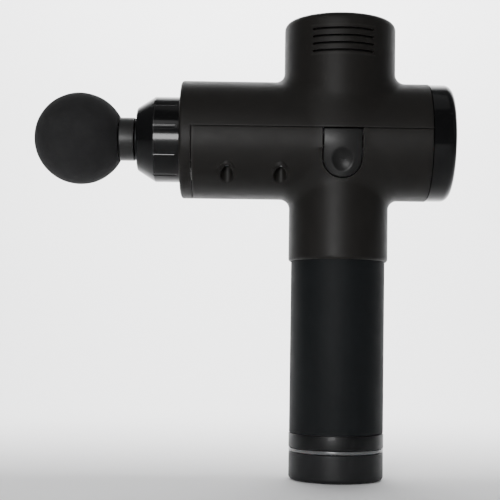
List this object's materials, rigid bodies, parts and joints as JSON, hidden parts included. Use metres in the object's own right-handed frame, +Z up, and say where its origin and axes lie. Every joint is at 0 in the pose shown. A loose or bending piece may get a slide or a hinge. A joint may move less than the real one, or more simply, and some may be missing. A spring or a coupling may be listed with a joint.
{
  "type": "massage gun",
  "caption": "Cordless percussion massage gun with a ball head, a horizontal drive barrel, a vented motor tower and a round battery handle it stands on.",
  "frame": {"origin": "centre of the handle's flat bottom face, which it stands on", "axes": "+Z up the handle and the motor tower, -X along the barrel towards the massage head, +X towards the display, Y = 0 is the plane that halves it"},
  "size_m": [0.2234, 0.063, 0.2444],
  "materials": {
    "housing": "soft-touch black, fine moulded grain",
    "grip": "smooth satin black elastomer",
    "gloss": "polished piano black",
    "foam": "dense closed-cell foam, dull",
    "head_plastic": "satin black nylon",
    "light": "translucent grey light guide",
    "lens": "tinted display window",
    "rubber": "moulded seal rubber",
    "frame": "die-cast, lightly blasted",
    "steel": "ground steel",
    "copper": "enamelled copper windings on a steel core",
    "magnet": "nickel-plated magnets",
    "bush": "natural acetal",
    "board": "green circuit board",
    "cell": "blue shrink sleeve",
    "inner_plastic": "plain dark moulding",
    "end_plastic": "satin black moulding",
    "cable": "red insulation"
  },
  "bodies": {
    "housing": {"upper_shell": "housing", "lower_shell": "housing", "side_cover_left": "housing", "side_cover_right": "housing", "housing_screw_1": "steel", "housing_screw_2": "steel", "housing_screw_3": "steel", "housing_screw_4": "steel", "rear_bezel": "gloss", "display_lens": "lens", "display_board": "board", "control_board": "board", "nose_sleeve": "gloss", "nose_seal": "rubber", "front_bush": "bush", "rear_bush": "bush", "inner_frame": "frame", "motor_base": "frame", "motor_stator": "copper", "lower_bearing": "steel", "upper_bearing": "steel", "handle_tube": "inner_plastic", "grip_sleeve": "grip", "light_band": "gloss", "light_ring": "light", "led_board": "board", "battery_tray_lower": "inner_plastic", "battery_tray_middle": "inner_plastic", "battery_tray_upper": "inner_plastic", "battery_board": "board", "end_cap": "end_plastic", "end_cap_screw_1": "steel", "end_cap_screw_2": "steel", "switch_housing": "inner_plastic", "dc_jack": "inner_plastic", "battery_lead": "cable", "motor_lead": "cable", "display_lead": "cable", "battery_cell_1": "cell", "battery_cell_2": "cell", "battery_cell_3": "cell", "battery_cell_4": "cell", "battery_cell_5": "cell", "battery_cell_6": "cell"},
    "rotor": {"rotor_can": "steel", "rotor_magnets": "magnet", "motor_shaft": "steel", "cooling_fan": "inner_plastic", "crank_disc": "steel", "crank_pin": "steel"},
    "rod": {"connecting_rod": "frame", "big_end_bearing": "steel", "wrist_pin": "steel"},
    "shaft": {"drive_shaft": "steel"},
    "head": {"ball_head": "foam", "head_adapter": "head_plastic", "head_o_ring": "rubber"},
    "switch": {"power_rocker": "gloss"}
  },
  "joints": [
    {"name": "crank_spin", "type": "hinge", "parent": "housing", "child": "rotor", "pos_m": [0, 0, 0.1982], "axis": [0, 0, 1], "continuous": true},
    {"name": "rod_turn", "type": "hinge", "parent": "rotor", "child": "rod", "pos_m": [0, 0.005, 0.1807], "axis": [0, 0, 1], "continuous": true},
    {"name": "shaft_stroke", "type": "slide", "parent": "housing", "child": "shaft", "axis": [-1, 0, 0], "range_m": [-0.005, 0.005]},
    {"name": "head_pull", "type": "slide", "parent": "shaft", "child": "head", "axis": [-1, 0, 0], "range_m": [0, 0.03]},
    {"name": "switch_rock", "type": "hinge", "parent": "housing", "child": "switch", "pos_m": [-0.012, 0, 0.0065], "axis": [0, -1, 0], "range_deg": [0, 16]}
  ],
  "couplings": [
    {"joint": "rod_turn", "follows": "crank_spin", "ratio": -1}
  ]
}
